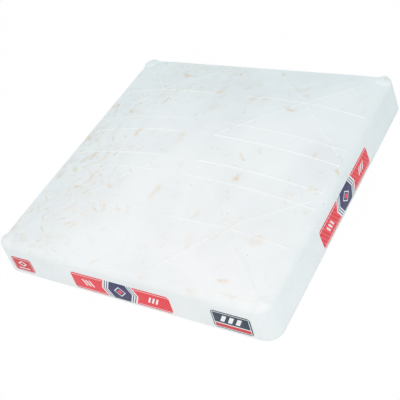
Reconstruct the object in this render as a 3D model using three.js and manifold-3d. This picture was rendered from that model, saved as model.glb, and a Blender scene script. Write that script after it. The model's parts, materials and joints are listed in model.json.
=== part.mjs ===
// A baseball base: a crowned, ridged rubber cover over a foam core and a steel frame, on a square post.
// Millimetres, +Z up. The origin is on the post's axis, at the level of the ground.
// The front side faces -Y and the right side faces +X.

import * as THREE from 'three';
import { mergeVertices } from 'three/addons/utils/BufferGeometryUtils.js';
import Module from 'manifold-3d';

const wasm = await Module();
wasm.setup();

// Rubber cover
const BASE_WIDTH = 457.2;
const EDGE_HEIGHT = 51.6;
const CROWN_HEIGHT = 31;
const HIP_WIDTH = 45;
const SIDE_TAPER = 4.9;
const EDGE_RADIUS = 7;
const TOE_RADIUS = 1;
const CORNER_RADIUS = 17;
const SIDE_WALL = 9;
const TOP_SKIN = 7;
const INNER_RADIUS = 4;
const LIP_THICKNESS = 9;
const LIP_REACH = 42;

// Raised pad, or ear, at each corner of the top
const EAR_HEIGHT = 4;
const EAR_SIDE = 26;
const EAR_RAMP = 14;

// Moulded ridges: straight lines in plan, at these distances from the middle
const RIDGE_WIDTH = 3.6;
const RIDGE_CREST = 1.6;
const RIDGE_HEIGHT = 0.7;
const RIDGE_ROOT = 1.5;
const RIDGE_START = 28;
const INNER_RIDGE = 26.5;
const MIDDLE_RIDGE = 55.5;
const STAR_RIDGE = 125.5;
const CROSS_LENGTH = 230;

// Steel frame
const RAIL_LEG = 30;
const STEEL_THICKNESS = 4;
const ARM_THICKNESS = 6;
const FOAM_EDGE = 8;

// Post, socket and clamp
const POST_SIZE = 25.4;
const POST_WALL = 3.2;
const POST_REACH = 140;
const POST_HEADROOM = 4;
const SOCKET_WALL = 2.7;
const SOCKET_BOTTOM = 2;
const TUBE_CORNER = 2;
const SLIDE_CLEARANCE = 0.45;
const HEIGHT_TRAVEL = 25.4;
const PLATE_SIZE = 40;
const FOAM_OVER_PLATE = 10;
const BOLT_DIAMETER = 10;
const BOLT_LENGTH = 25;
const BOLT_GRIP = 1.6;
const HEX_FLATS = 17;
const HEX_HEAD = 6.4;
const NUT_HEIGHT = 8;

// Screws and washers that hold the lip to the rails
const SCREW_SPACING = 200;
const SCREW_DIAMETER = 4.8;
const SCREW_HEAD_DIAMETER = 9.5;
const SCREW_HEAD = 3;
const SCREW_HEAD_FACE = 5.6;
const SCREW_TAIL = 4;
const WASHER_DIAMETER = 16;
const WASHER_THICKNESS = 1.2;
const POCKET_DEPTH = 5.4;
const POCKET_CLEARANCE = 1;

// Printed labels: size, distance above the ground, and place along the side, from its middle or its end
const LABEL_THICKNESS = 0.6;
const LABEL_CORNER = 4;
const LABEL_BOTTOM = 4.4;
const LABEL_HEIGHT = 30.6;
const STRIP_LENGTH = 166;
const SMALL_LABEL = { fromEnd: 24.35, width: 38.5, bottom: 7, height: 26.5 };
const FRONT_STRIP = { fromMiddle: -4.5, width: STRIP_LENGTH, bottom: LABEL_BOTTOM, height: LABEL_HEIGHT };
const FRONT_PATCH = { fromEnd: 31.1, width: 56, bottom: LABEL_BOTTOM, height: LABEL_HEIGHT };
const SIDE_STRIP = { fromMiddle: 6, width: STRIP_LENGTH, bottom: LABEL_BOTTOM, height: LABEL_HEIGHT };

// Gap between pieces that touch, and clearance of a screw or bolt in its hole
const FIT = 0.3;
const HOLE_CLEARANCE = 0.4;

// How finely round forms are divided
const ARC_STEPS = 4;
const ROLL_STEPS = 3;
const ROUND_SIDES = 16;
const RIDGE_STEPS = 10;
const TOP_RINGS = [1, 0.84, 0.68, 0.52, 0.36, 0.18, 0.002];
const FINE_STOPS = [0.88, 0.75, 0.5, 0.25, 0, -0.25, -0.5, -0.75, -0.88];
const COARSE_STOPS = [0.8, 0.4, 0, -0.4, -0.8];
const LEAST_CORNER = 0.01;

// Sizes that follow from the ones above
const BASE_HALF = BASE_WIDTH / 2;
const TOP_HALF = BASE_HALF - SIDE_TAPER;
const CORNER_CENTRE = TOP_HALF - CORNER_RADIUS;
const EAR_FOOT = TOP_HALF - EAR_SIDE;
const LEAN = SIDE_TAPER / EDGE_HEIGHT;
const LEAN_ANGLE = Math.atan(LEAN);
const RAIL_BOTTOM = LIP_THICKNESS + FIT;
const RAIL_TOP = EDGE_HEIGHT - TOP_SKIN - FIT - FOAM_EDGE - FIT;
const CAVITY_HALF_AT_RAIL_TOP = BASE_HALF - LEAN * RAIL_TOP - SIDE_WALL;
const CAVITY_CORNER = CAVITY_HALF_AT_RAIL_TOP - CORNER_CENTRE;
const RAIL_HALF = CAVITY_HALF_AT_RAIL_TOP - CAVITY_CORNER * (1 - Math.SQRT1_2) - FIT;
const SCREW_LINE = RAIL_HALF - RAIL_LEG / 2;
const SOCKET_BORE = POST_SIZE + 2 * SLIDE_CLEARANCE;
const SOCKET_SIZE = SOCKET_BORE + 2 * SOCKET_WALL;
const CROWN_UNDERSIDE = EDGE_HEIGHT + CROWN_HEIGHT - TOP_SKIN;
const PLATE_TOP = CROWN_UNDERSIDE - FIT - FOAM_OVER_PLATE - FIT;
const SOCKET_TOP = PLATE_TOP - STEEL_THICKNESS - FIT;
const POST_TOP = SOCKET_TOP - POST_HEADROOM;
const BOLT_LEVEL = POST_TOP - HEIGHT_TRAVEL - BOLT_DIAMETER / 2 - BOLT_GRIP;

const whiteRubber = new THREE.MeshStandardMaterial({ color: 0xe6eaec, roughness: 0.55, metalness: 0 });
const foam = new THREE.MeshStandardMaterial({ color: 0x5b5f63, roughness: 0.95, metalness: 0 });
const galvanised = new THREE.MeshStandardMaterial({ color: 0x9aa0a4, roughness: 0.45, metalness: 0.85 });
const zincPlated = new THREE.MeshStandardMaterial({ color: 0xb9bcbd, roughness: 0.3, metalness: 0.95 });
const redPrint = new THREE.MeshStandardMaterial({ color: 0xd8303f, roughness: 0.4, metalness: 0 });
const navyPrint = new THREE.MeshStandardMaterial({ color: 0x2c3158, roughness: 0.4, metalness: 0 });

const base = new THREE.Group();

function addPiece(name, geometry, material) {
  const piece = new THREE.Mesh(geometry, material);
  piece.name = name;
  base.add(piece);
  return piece;
}

// A closed geometry as a solid that can be joined and cut
function solidOf(geometry) {
  const bare = geometry.clone();
  bare.deleteAttribute('normal');
  bare.deleteAttribute('uv');
  const merged = mergeVertices(bare);
  return new wasm.Manifold(new wasm.Mesh({
    numProp: 3,
    vertProperties: new Float32Array(merged.attributes.position.array),
    triVerts: new Uint32Array(merged.index.array),
  }));
}

function geometryOf(solid) {
  const mesh = solid.getMesh();
  const geometry = new THREE.BufferGeometry();
  geometry.setAttribute('position', new THREE.BufferAttribute(mesh.vertProperties, 3));
  geometry.setIndex(new THREE.BufferAttribute(mesh.triVerts, 1));
  geometry.computeVertexNormals();
  return geometry;
}

function cylinderAlongZ(radius, low, high, sides = ROUND_SIDES) {
  const geometry = new THREE.CylinderGeometry(radius, radius, high - low, sides);
  geometry.rotateX(Math.PI / 2);
  geometry.translate(0, 0, (low + high) / 2);
  return geometry;
}

// Closed skin over a stack of rings that have as many points each, with a point in the middle of both ends
function loft(rings) {
  const count = rings[0].length;
  const middle = (ring) => ring.reduce((sum, p) => sum.add(p), new THREE.Vector3()).divideScalar(count);
  const points = rings.flat();
  const low = points.push(middle(rings[0])) - 1;
  const high = points.push(middle(rings[rings.length - 1])) - 1;
  const last = (rings.length - 1) * count;
  const faces = [];
  for (let i = 0; i < count; i++) {
    const j = (i + 1) % count;
    faces.push(low, j, i, high, last + i, last + j);
    for (let row = 0; row < last; row += count) {
      faces.push(row + i, row + j, row + count + j, row + i, row + count + j, row + count + i);
    }
  }
  const geometry = new THREE.BufferGeometry().setFromPoints(points);
  geometry.setIndex(faces);
  geometry.computeVertexNormals();
  return geometry;
}

// Outline of a square with round corners, anticlockwise, with stops along each side at shares of its half
function roundedSquare(half, radius, stops) {
  const straight = half - radius;
  const outline = [];
  for (let corner = 0; corner < 4; corner++) {
    const around = new THREE.Vector2();
    const turned = (x, y) => outline.push(new THREE.Vector2(x, y).rotateAround(around, corner * Math.PI / 2));
    for (let step = 0; step <= ARC_STEPS; step++) {
      const angle = step / ARC_STEPS * Math.PI / 2;
      turned(straight + radius * Math.cos(angle), straight + radius * Math.sin(angle));
    }
    stops.forEach((share) => turned(straight * share, half));
  }
  return outline;
}

// The crown is hipped: four curved faces, one to each side, that blend into each other along the diagonals
function crownAt(x, y) {
  const across = Math.max(0, HIP_WIDTH - Math.abs(Math.abs(x) - Math.abs(y)));
  const out = Math.max(Math.abs(x), Math.abs(y)) + across ** 2 / (4 * HIP_WIDTH);
  return CROWN_HEIGHT * Math.max(0, 1 - (out / TOP_HALF) ** 2);
}

function earShareAt(x, y) {
  const climb = (along) => THREE.MathUtils.clamp((Math.abs(along) - EAR_FOOT) / EAR_RAMP, 0, 1);
  return climb(x) * climb(y);
}

// The form that the cover, its hollow and the foam share: tapered sides, a rolled edge and a crowned top.
// inset is the distance inside the cover's outer wall, and sink the depth below its top.
function crownedBody({ floor, inset, sink, roll, toe, ear }) {
  const earStop = EAR_FOOT / CORNER_CENTRE;
  const stops = ear > 0 ? [earStop, ...FINE_STOPS, -earStop] : COARSE_STOPS;
  const rings = [];
  const addRing = (half, levelAt) => {
    const radius = Math.max(half - CORNER_CENTRE, half * LEAST_CORNER);
    const outline = roundedSquare(half, radius, stops);
    rings.push(outline.map((p) => new THREE.Vector3(p.x, p.y, levelAt(p.x, p.y))));
  };
  const wallHalf = (level) => BASE_HALF - inset - LEAN * level;
  if (toe > 0) {
    addRing(wallHalf(floor) - toe, () => floor);
    const share = 1 - Math.SQRT1_2;
    addRing(wallHalf(floor) - toe * share, () => floor + toe * share);
  }
  addRing(wallHalf(floor + toe), () => floor + toe);
  const edge = EDGE_HEIGHT - sink;
  const topAt = (x, y) => edge + crownAt(x, y) + ear * earShareAt(x, y);
  for (let step = 0; step <= ROLL_STEPS; step++) {
    const angle = step / ROLL_STEPS * Math.PI / 2;
    const drop = roll * (1 - Math.sin(angle));
    const half = wallHalf(edge - drop) - roll * (1 - Math.cos(angle));
    addRing(half, (x, y) => topAt(x, y) - drop);
  }
  if (ear > 0) addRing(EAR_FOOT + EAR_RAMP, topAt);
  for (const share of TOP_RINGS) addRing(EAR_FOOT * share, topAt);
  return loft(rings);
}

// A low ridge along a straight line in plan, which follows the crown
function ridgeAlong(from, to) {
  const across = to.clone().sub(from).normalize().rotateAround(new THREE.Vector2(), Math.PI / 2);
  const section = [
    [RIDGE_WIDTH / 2, -RIDGE_ROOT],
    [RIDGE_CREST / 2, RIDGE_HEIGHT],
    [-RIDGE_CREST / 2, RIDGE_HEIGHT],
    [-RIDGE_WIDTH / 2, -RIDGE_ROOT],
  ];
  const rings = [];
  for (let step = 0; step <= RIDGE_STEPS; step++) {
    const on = from.clone().lerp(to, step / RIDGE_STEPS);
    const level = EDGE_HEIGHT + crownAt(on.x, on.y);
    rings.push(section.map(([aside, up]) => new THREE.Vector3(
      on.x + across.x * aside, on.y + across.y * aside, level + up)));
  }
  return loft(rings);
}

// Each quarter of the top has three ridges across, one along the hip and one that crosses it in a star
function topRidges() {
  const ridgeEnd = TOP_HALF - EDGE_RADIUS;
  const crossReach = CROSS_LENGTH / 2 * Math.SQRT1_2;
  const ridges = [];
  for (const right of [1, -1]) {
    for (const back of [1, -1]) {
      const at = (x, y) => new THREE.Vector2(x * right, y * back);
      for (const line of [INNER_RIDGE, MIDDLE_RIDGE, STAR_RIDGE]) {
        ridges.push(ridgeAlong(at(RIDGE_START, line), at(ridgeEnd, line)));
      }
      ridges.push(ridgeAlong(at(INNER_RIDGE, INNER_RIDGE), at(EAR_FOOT, EAR_FOOT)));
      const near = STAR_RIDGE - crossReach;
      const far = STAR_RIDGE + crossReach;
      ridges.push(ridgeAlong(at(near, far), at(far, near)));
    }
  }
  return ridges;
}

// Two screws on each side, as a place and the side that it is on
function screwPlaces() {
  const places = [];
  for (let side = 0; side < 4; side++) {
    for (const along of [-SCREW_SPACING / 2, SCREW_SPACING / 2]) {
      const place = new THREE.Vector2(along, -SCREW_LINE);
      places.push(place.rotateAround(new THREE.Vector2(), side * Math.PI / 2));
    }
  }
  return places;
}

function buildCover() {
  const outside = crownedBody({
    floor: 0, inset: 0, sink: 0, roll: EDGE_RADIUS, toe: TOE_RADIUS, ear: EAR_HEIGHT,
  });
  const hollow = crownedBody({
    floor: LIP_THICKNESS, inset: SIDE_WALL, sink: TOP_SKIN, roll: INNER_RADIUS, toe: 0, ear: 0,
  });
  let cover = solidOf(outside);
  for (const ridge of topRidges()) cover = cover.add(solidOf(ridge));
  const mouthOutline = new THREE.Shape(roundedSquare(BASE_HALF - LIP_REACH, CORNER_RADIUS, []));
  const mouth = new THREE.ExtrudeGeometry(mouthOutline, { depth: 2 * LIP_THICKNESS, bevelEnabled: false });
  mouth.translate(0, 0, -LIP_THICKNESS / 2);
  cover = cover.subtract(solidOf(hollow)).subtract(solidOf(mouth));
  const pocketRadius = WASHER_DIAMETER / 2 + POCKET_CLEARANCE;
  const holeRadius = SCREW_DIAMETER / 2 + HOLE_CLEARANCE;
  for (const place of screwPlaces()) {
    const pocket = cylinderAlongZ(pocketRadius, -LIP_THICKNESS, POCKET_DEPTH).translate(place.x, place.y, 0);
    const hole = cylinderAlongZ(holeRadius, 0, 2 * LIP_THICKNESS).translate(place.x, place.y, 0);
    cover = cover.subtract(solidOf(pocket)).subtract(solidOf(hole));
  }
  return geometryOf(cover);
}

function buildFoam() {
  const floor = RAIL_TOP + FIT;
  const core = crownedBody({
    floor, inset: SIDE_WALL + FIT, sink: TOP_SKIN + FIT, roll: INNER_RADIUS, toe: 0, ear: 0,
  });
  const recessSize = PLATE_SIZE + 2 * POCKET_CLEARANCE;
  const recessTop = PLATE_TOP + FIT;
  const recess = new THREE.BoxGeometry(recessSize, recessSize, 2 * (recessTop - floor));
  recess.translate(0, 0, floor);
  return geometryOf(solidOf(core).subtract(solidOf(recess)));
}

// Steel angle along the front side, with mitred ends and holes for the screws
function buildRail() {
  const legEnd = RAIL_HALF - RAIL_LEG;
  const section = [
    [RAIL_HALF, RAIL_BOTTOM],
    [legEnd, RAIL_BOTTOM],
    [legEnd, RAIL_BOTTOM + STEEL_THICKNESS],
    [RAIL_HALF - STEEL_THICKNESS, RAIL_BOTTOM + STEEL_THICKNESS],
    [RAIL_HALF - STEEL_THICKNESS, RAIL_TOP],
    [RAIL_HALF, RAIL_TOP],
  ];
  const outline = new THREE.Shape(section.map(([out, level]) => new THREE.Vector2(out, level)));
  const bar = new THREE.ExtrudeGeometry(outline, { depth: 1, bevelEnabled: false });
  const positions = bar.attributes.position;
  for (let i = 0; i < positions.count; i++) {
    const out = positions.getX(i);
    const level = positions.getY(i);
    const end = positions.getZ(i) > 0.5 ? 1 : -1;
    positions.setXYZ(i, -end * (out - FIT / 2), -out, level);
  }
  let rail = solidOf(bar);
  for (const along of [-SCREW_SPACING / 2, SCREW_SPACING / 2]) {
    const hole = cylinderAlongZ(SCREW_DIAMETER / 2 + HOLE_CLEARANCE, 0, RAIL_TOP);
    rail = rail.subtract(solidOf(hole.translate(along, -SCREW_LINE, 0)));
  }
  return geometryOf(rail);
}

// Flat bar on edge along +X: notched round a corner of the socket, and pointed into a corner of the rails
function buildArm() {
  const half = ARM_THICKNESS / 2;
  const notch = (SOCKET_SIZE / 2 + FIT) * Math.SQRT2;
  const point = (RAIL_HALF - STEEL_THICKNESS - FIT) * Math.SQRT2;
  const outline = new THREE.Shape([
    new THREE.Vector2(notch, 0),
    new THREE.Vector2(notch - half, -half),
    new THREE.Vector2(point - half, -half),
    new THREE.Vector2(point, 0),
    new THREE.Vector2(point - half, half),
    new THREE.Vector2(notch - half, half),
  ]);
  const bottom = RAIL_BOTTOM + STEEL_THICKNESS + FIT;
  const bar = new THREE.ExtrudeGeometry(outline, { depth: RAIL_TOP - bottom, bevelEnabled: false });
  return bar.translate(0, 0, bottom);
}

function squareTube(size, wall, bottom, top) {
  const outline = new THREE.Shape(roundedSquare(size / 2, TUBE_CORNER, []));
  outline.holes.push(new THREE.Path(roundedSquare(size / 2 - wall, TUBE_CORNER / 2, []).reverse()));
  const tube = new THREE.ExtrudeGeometry(outline, { depth: top - bottom, bevelEnabled: false });
  return tube.translate(0, 0, bottom);
}

// Moves a piece that is built along +Z to the clamp bolt's axis, which points out of the socket's front
function ontoClampAxis(geometry) {
  return geometry.rotateX(Math.PI / 2).translate(0, 0, BOLT_LEVEL);
}

function buildSocket() {
  const tube = squareTube(SOCKET_SIZE, SOCKET_WALL, SOCKET_BOTTOM, SOCKET_TOP);
  const hole = cylinderAlongZ(BOLT_DIAMETER / 2 + HOLE_CLEARANCE, SOCKET_BORE / 4, SOCKET_SIZE);
  return geometryOf(solidOf(tube).subtract(solidOf(ontoClampAxis(hole))));
}

function buildTopPlate() {
  const outline = new THREE.Shape(roundedSquare(PLATE_SIZE / 2, STEEL_THICKNESS, []));
  const plate = new THREE.ExtrudeGeometry(outline, { depth: STEEL_THICKNESS, bevelEnabled: false });
  return plate.translate(0, 0, PLATE_TOP - STEEL_THICKNESS);
}

function hexagonAlongZ(flats, low, high) {
  return cylinderAlongZ(flats / Math.sqrt(3), low, high, 6);
}

function buildNut() {
  const seat = SOCKET_SIZE / 2 + FIT;
  const hexagon = hexagonAlongZ(HEX_FLATS, seat, seat + NUT_HEIGHT);
  const hole = cylinderAlongZ(BOLT_DIAMETER / 2 + HOLE_CLEARANCE, 0, seat + 2 * NUT_HEIGHT);
  return ontoClampAxis(geometryOf(solidOf(hexagon).subtract(solidOf(hole))));
}

function buildClampBolt() {
  const tip = POST_SIZE / 2 + FIT;
  const headSeat = tip + BOLT_LENGTH;
  const shank = cylinderAlongZ(BOLT_DIAMETER / 2, tip, headSeat + HEX_HEAD / 2);
  const head = hexagonAlongZ(HEX_FLATS, headSeat, headSeat + HEX_HEAD);
  return ontoClampAxis(geometryOf(solidOf(shank).add(solidOf(head))));
}

function revolved(profile) {
  const points = profile.map(([radius, level]) => new THREE.Vector2(radius, level));
  return new THREE.LatheGeometry(points, ROUND_SIDES).rotateX(Math.PI / 2);
}

function buildWasher() {
  const top = POCKET_DEPTH - FIT;
  const bottom = top - WASHER_THICKNESS;
  const bore = SCREW_DIAMETER / 2 + HOLE_CLEARANCE;
  const rim = WASHER_DIAMETER / 2;
  return revolved([[bore, bottom], [rim, bottom], [rim, top], [bore, top], [bore, bottom]]);
}

function buildScrew() {
  const headTop = POCKET_DEPTH - FIT - WASHER_THICKNESS - FIT;
  const shank = SCREW_DIAMETER / 2;
  const rim = SCREW_HEAD_DIAMETER / 2;
  const tailEnd = RAIL_BOTTOM + STEEL_THICKNESS + SCREW_TAIL;
  return revolved([
    [0, headTop - SCREW_HEAD],
    [SCREW_HEAD_FACE / 2, headTop - SCREW_HEAD],
    [rim, headTop - SCREW_HEAD / 2],
    [rim, headTop],
    [shank, headTop],
    [shank, tailEnd - shank],
    [0, tailEnd],
  ]);
}

// How far the middle of a label near the end of a side lies from the middle of that side
function placeNearEnd({ fromEnd, width }) {
  return BASE_HALF - fromEnd - width / 2;
}

// A printed label for the front side: a thin plate with round corners, leaning with the wall
function buildLabel(along, { width, bottom, height }) {
  const corner = Math.min(LABEL_CORNER, height / 4);
  const outline = new THREE.Shape();
  outline.moveTo(-width / 2 + corner, 0);
  outline.lineTo(width / 2 - corner, 0);
  outline.quadraticCurveTo(width / 2, 0, width / 2, corner);
  outline.lineTo(width / 2, height - corner);
  outline.quadraticCurveTo(width / 2, height, width / 2 - corner, height);
  outline.lineTo(-width / 2 + corner, height);
  outline.quadraticCurveTo(-width / 2, height, -width / 2, height - corner);
  outline.lineTo(-width / 2, corner);
  outline.quadraticCurveTo(-width / 2, 0, -width / 2 + corner, 0);
  const plate = new THREE.ExtrudeGeometry(outline, {
    depth: LABEL_THICKNESS, bevelEnabled: false, curveSegments: ARC_STEPS,
  });
  plate.translate(along, bottom, FIT);
  plate.rotateX(Math.PI / 2 - LEAN_ANGLE);
  return plate.translate(0, -BASE_HALF, 0);
}

addPiece('rubber_cover', buildCover(), whiteRubber);
addPiece('foam_core', buildFoam(), foam);

['front', 'right', 'back', 'left'].forEach((side, turn) => {
  addPiece(`frame_rail_${side}`, buildRail(), galvanised).rotation.z = turn * Math.PI / 2;
});
['back_right', 'back_left', 'front_left', 'front_right'].forEach((corner, turn) => {
  addPiece(`frame_arm_${corner}`, buildArm(), galvanised).rotation.z = (turn + 0.5) * Math.PI / 2;
});

addPiece('post_socket', buildSocket(), galvanised);
addPiece('socket_top_plate', buildTopPlate(), galvanised);
addPiece('clamp_nut', buildNut(), zincPlated);
addPiece('clamp_bolt', buildClampBolt(), zincPlated);
addPiece('stanchion_post', squareTube(POST_SIZE, POST_WALL, -POST_REACH, POST_TOP), galvanised);

screwPlaces().forEach((place, index) => {
  addPiece(`cover_washer_${index + 1}`, buildWasher(), zincPlated).position.set(place.x, place.y, 0);
  addPiece(`cover_screw_${index + 1}`, buildScrew(), zincPlated).position.set(place.x, place.y, 0);
});

addPiece('label_small_front', buildLabel(-placeNearEnd(SMALL_LABEL), SMALL_LABEL), redPrint);
addPiece('label_strip_front', buildLabel(FRONT_STRIP.fromMiddle, FRONT_STRIP), redPrint);
addPiece('label_patch_front', buildLabel(placeNearEnd(FRONT_PATCH), FRONT_PATCH), navyPrint);
const sideStrip = addPiece('label_strip_side', buildLabel(SIDE_STRIP.fromMiddle, SIDE_STRIP), redPrint);
sideStrip.rotation.z = Math.PI / 2;

export default base;
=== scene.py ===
# %% [markdown]
# # A field base, dressed in Blender
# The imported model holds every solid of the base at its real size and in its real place. This lesson
# gives the pieces their surfaces: fine meshes where a form is soft or moulded, and node materials for
# rubber, clay dust, vinyl, foam and zinc. Lengths are in metres, +Z points up, and the origin is on the
# post's axis at ground level.

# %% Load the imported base
import json
import math

import bmesh
import bpy
import numpy as np
from mathutils import Matrix, Vector

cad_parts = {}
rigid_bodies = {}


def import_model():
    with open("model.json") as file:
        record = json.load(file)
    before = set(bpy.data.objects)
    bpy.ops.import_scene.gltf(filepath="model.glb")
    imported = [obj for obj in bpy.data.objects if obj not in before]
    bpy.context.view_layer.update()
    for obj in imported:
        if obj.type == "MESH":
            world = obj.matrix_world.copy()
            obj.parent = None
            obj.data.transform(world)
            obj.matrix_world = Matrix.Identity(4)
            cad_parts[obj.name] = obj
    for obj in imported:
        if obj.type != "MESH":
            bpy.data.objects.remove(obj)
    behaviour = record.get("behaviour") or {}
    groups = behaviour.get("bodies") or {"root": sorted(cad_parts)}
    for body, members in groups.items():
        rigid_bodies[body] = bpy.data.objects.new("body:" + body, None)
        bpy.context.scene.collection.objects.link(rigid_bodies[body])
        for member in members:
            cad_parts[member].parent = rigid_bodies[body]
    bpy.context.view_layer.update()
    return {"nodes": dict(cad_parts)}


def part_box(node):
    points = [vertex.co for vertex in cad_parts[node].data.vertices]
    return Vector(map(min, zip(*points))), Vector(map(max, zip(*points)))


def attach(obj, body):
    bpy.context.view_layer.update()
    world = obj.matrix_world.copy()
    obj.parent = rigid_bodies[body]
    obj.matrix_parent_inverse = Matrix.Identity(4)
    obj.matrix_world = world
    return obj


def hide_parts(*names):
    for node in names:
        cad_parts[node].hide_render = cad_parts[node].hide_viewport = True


for leftover in list(bpy.data.objects):
    bpy.data.objects.remove(leftover)
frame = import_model()
scene = bpy.context.scene
print("solids in the frame:", len(frame["nodes"]))

# %% [markdown]
# ## The camera
# The picture looks down on one corner of the base, and the base seems to lean, because the camera is
# rolled about its line of sight. A tracking constraint can aim a camera, but it can't easily hold a roll.
# So three turns, by the azimuth, the elevation and the roll, are multiplied into one matrix.

# %% Place the camera
AZIMUTH = math.radians(44.43)
ELEVATION = math.radians(41.30)
ROLL = math.radians(-22.46)
# From the origin: along the camera's right, along its up, and back towards it
CAMERA_OFFSET = Vector((-0.0085, -0.0225, 1.1569))
FOCAL_LENGTH_MM = 69.0
SENSOR_WIDTH_MM = 36.0

lens = bpy.data.cameras.new("photo_camera")
lens.sensor_width = SENSOR_WIDTH_MM
lens.lens = FOCAL_LENGTH_MM
camera = bpy.data.objects.new("photo_camera", lens)
tilt = Matrix.Rotation(math.pi / 2 - ELEVATION, 4, "X")
axes = Matrix.Rotation(AZIMUTH, 4, "Z") @ tilt @ Matrix.Rotation(ROLL, 4, "Z")
camera.matrix_world = axes @ Matrix.Translation(CAMERA_OFFSET)
scene.collection.objects.link(camera)
scene.camera = camera
print("camera at", [round(c, 3) for c in camera.matrix_world.translation])

# %% [markdown]
# ## The form of the cover
# The cover is moulded: its sides lean in, its top edge is rolled, and its top is crowned so that rain
# runs off. The crown is hipped, like a low roof with four curved faces. It could be sculpted, but a
# formula keeps it exact: the height falls off as a parabola towards the nearest side, and a soft blend
# rounds the hips.

# %% Sizes and heights of the cover
MM = 0.001
BASE_HALF = 457.2 / 2 * MM
SIDE_TAPER = 4.9 * MM
EDGE_HEIGHT = 51.6 * MM
CROWN_HEIGHT = 31 * MM
EDGE_RADIUS = 7 * MM
TOE_RADIUS = 1 * MM
CORNER_RADIUS = 17 * MM
HIP_WIDTH = 45 * MM
TOP_HALF = BASE_HALF - SIDE_TAPER
CORNER_CENTRE = TOP_HALF - CORNER_RADIUS
LEAN = SIDE_TAPER / EDGE_HEIGHT


def wall_half(level):
    """Half the width of the cover at a height above the ground."""
    return BASE_HALF - LEAN * level


def crown(x, y):
    """Height above the rolled edge."""
    x, y = np.abs(x), np.abs(y)
    blend = np.clip(HIP_WIDTH - np.abs(x - y), 0, None) ** 2 / (4 * HIP_WIDTH)
    out = np.maximum(x, y) + blend
    return CROWN_HEIGHT * np.clip(1 - (out / TOP_HALF) ** 2, 0, None)


print("top of the crown:", round(float(EDGE_HEIGHT + crown(0.0, 0.0)), 4))

# %% [markdown]
# ## Ears and ridges
# Each corner of the top has a raised pad, an ear, and thin moulded ridges cross the top: three lines in
# each quarter, a diagonal towards the corner, a short line that crosses it in a star, and a faint line
# close to the rim. A bump in the material would leave no shape in the mesh, so they are added to the
# height of the top itself, as a smooth swelling close to each line.

# %% Heights of the ears and ridges
EAR_HEIGHT = 4 * MM
EAR_SIDE = 26 * MM
EAR_RAMP = 14 * MM
EAR_FOOT = TOP_HALF - EAR_SIDE
RIDGE_WIDTH = 3.6 * MM
RIDGE_HEIGHT = 0.8 * MM
RIM_LINE = 213.5 * MM
RIM_LINE_WIDTH = 3 * MM
RIM_LINE_HEIGHT = 0.45 * MM
RIDGE_START = 28 * MM
RIDGE_END = TOP_HALF - EDGE_RADIUS
INNER_RIDGE = 26.5 * MM
MIDDLE_RIDGE = 55.5 * MM
STAR_RIDGE = 125.5 * MM
CROSS_LENGTH = 230 * MM


def smooth_step(share):
    share = np.clip(share, 0, 1)
    return share * share * (3 - 2 * share)


def ear(x, y):
    climbs = [smooth_step((np.abs(along) - EAR_FOOT) / EAR_RAMP) for along in (x, y)]
    return EAR_HEIGHT * climbs[0] * climbs[1]


def ridge_lines():
    """Both ends of each ridge in one quarter of the top."""
    lines = [((RIDGE_START, line), (RIDGE_END, line)) for line in (INNER_RIDGE, MIDDLE_RIDGE, STAR_RIDGE)]
    lines.append(((INNER_RIDGE, INNER_RIDGE), (EAR_FOOT, EAR_FOOT)))
    reach = CROSS_LENGTH / 2 * math.sqrt(0.5)
    near, far = STAR_RIDGE - reach, STAR_RIDGE + reach
    lines.append(((near, far), (far, near)))
    return lines


def ridges(x, y):
    """All quarters are alike, so the lines of one quarter serve for the distances from the middle."""
    x, y = np.abs(x), np.abs(y)
    past_corner = np.hypot(np.clip(x - CORNER_CENTRE, 0, None), np.clip(y - CORNER_CENTRE, 0, None))
    out = np.where(past_corner > 0, CORNER_CENTRE + past_corner, np.maximum(x, y))
    height = RIM_LINE_HEIGHT * smooth_step(1 - np.abs(out - RIM_LINE) / (RIM_LINE_WIDTH / 2))
    for (x0, y0), (x1, y1) in ridge_lines():
        run_x, run_y = x1 - x0, y1 - y0
        share = ((x - x0) * run_x + (y - y0) * run_y) / (run_x ** 2 + run_y ** 2)
        share = np.clip(share, 0, 1)
        aside = np.hypot(x - x0 - share * run_x, y - y0 - share * run_y)
        height = np.maximum(height, RIDGE_HEIGHT * smooth_step(1 - aside / (RIDGE_WIDTH / 2)))
    return height


print("ridges in all:", 4 * len(ridge_lines()))

# %% [markdown]
# ## The skin of the cover
# A square grid covers the top. Its outer rows are pushed onto rings with round corners and bent down
# over the rolled edge, and more rows carry on down the side and round the toe. So the skin has no poles
# or seams, and it ends in one flat face under the base. Subdividing a cube would pinch at the corners.
# The grid is little more than a millimetre, fine enough for the ridges.

# %% Rings with round corners
FULL_TURN = 2 * math.pi
QUARTER = FULL_TURN / 4
TINY = 1e-9


def rounded(x, y, centre=CORNER_CENTRE):
    """Moves points of square rings onto rings with round corners about the same corner centres."""
    half = np.maximum(np.abs(x), np.abs(y))
    along = np.minimum(np.abs(x), np.abs(y))
    radius = np.clip(half - centre, 0, None)
    share = np.clip((along - centre) / np.maximum(radius, TINY), 0, 1)
    turn = share * QUARTER / 2
    out = np.where(radius > 0, centre + radius * np.cos(turn), half)
    side = np.where(share > 0, centre + radius * np.sin(turn), along)
    x_leads = np.abs(x) >= np.abs(y)
    return np.copysign(np.where(x_leads, out, side), x), np.copysign(np.where(x_leads, side, out), y)


tip_x, _ = rounded(np.array([TOP_HALF]), np.array([TOP_HALF]))
print("a round corner draws the tip in by", round(float(TOP_HALF - tip_x[0]), 4))

# %% Rows of the skin
GRID_STEP = 1.2 * MM
ROLL_STEPS = 9
WALL_ROWS = 14
TOE_STEPS = 4


def arc(steps):
    return np.linspace(0, QUARTER, steps + 1)


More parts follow.
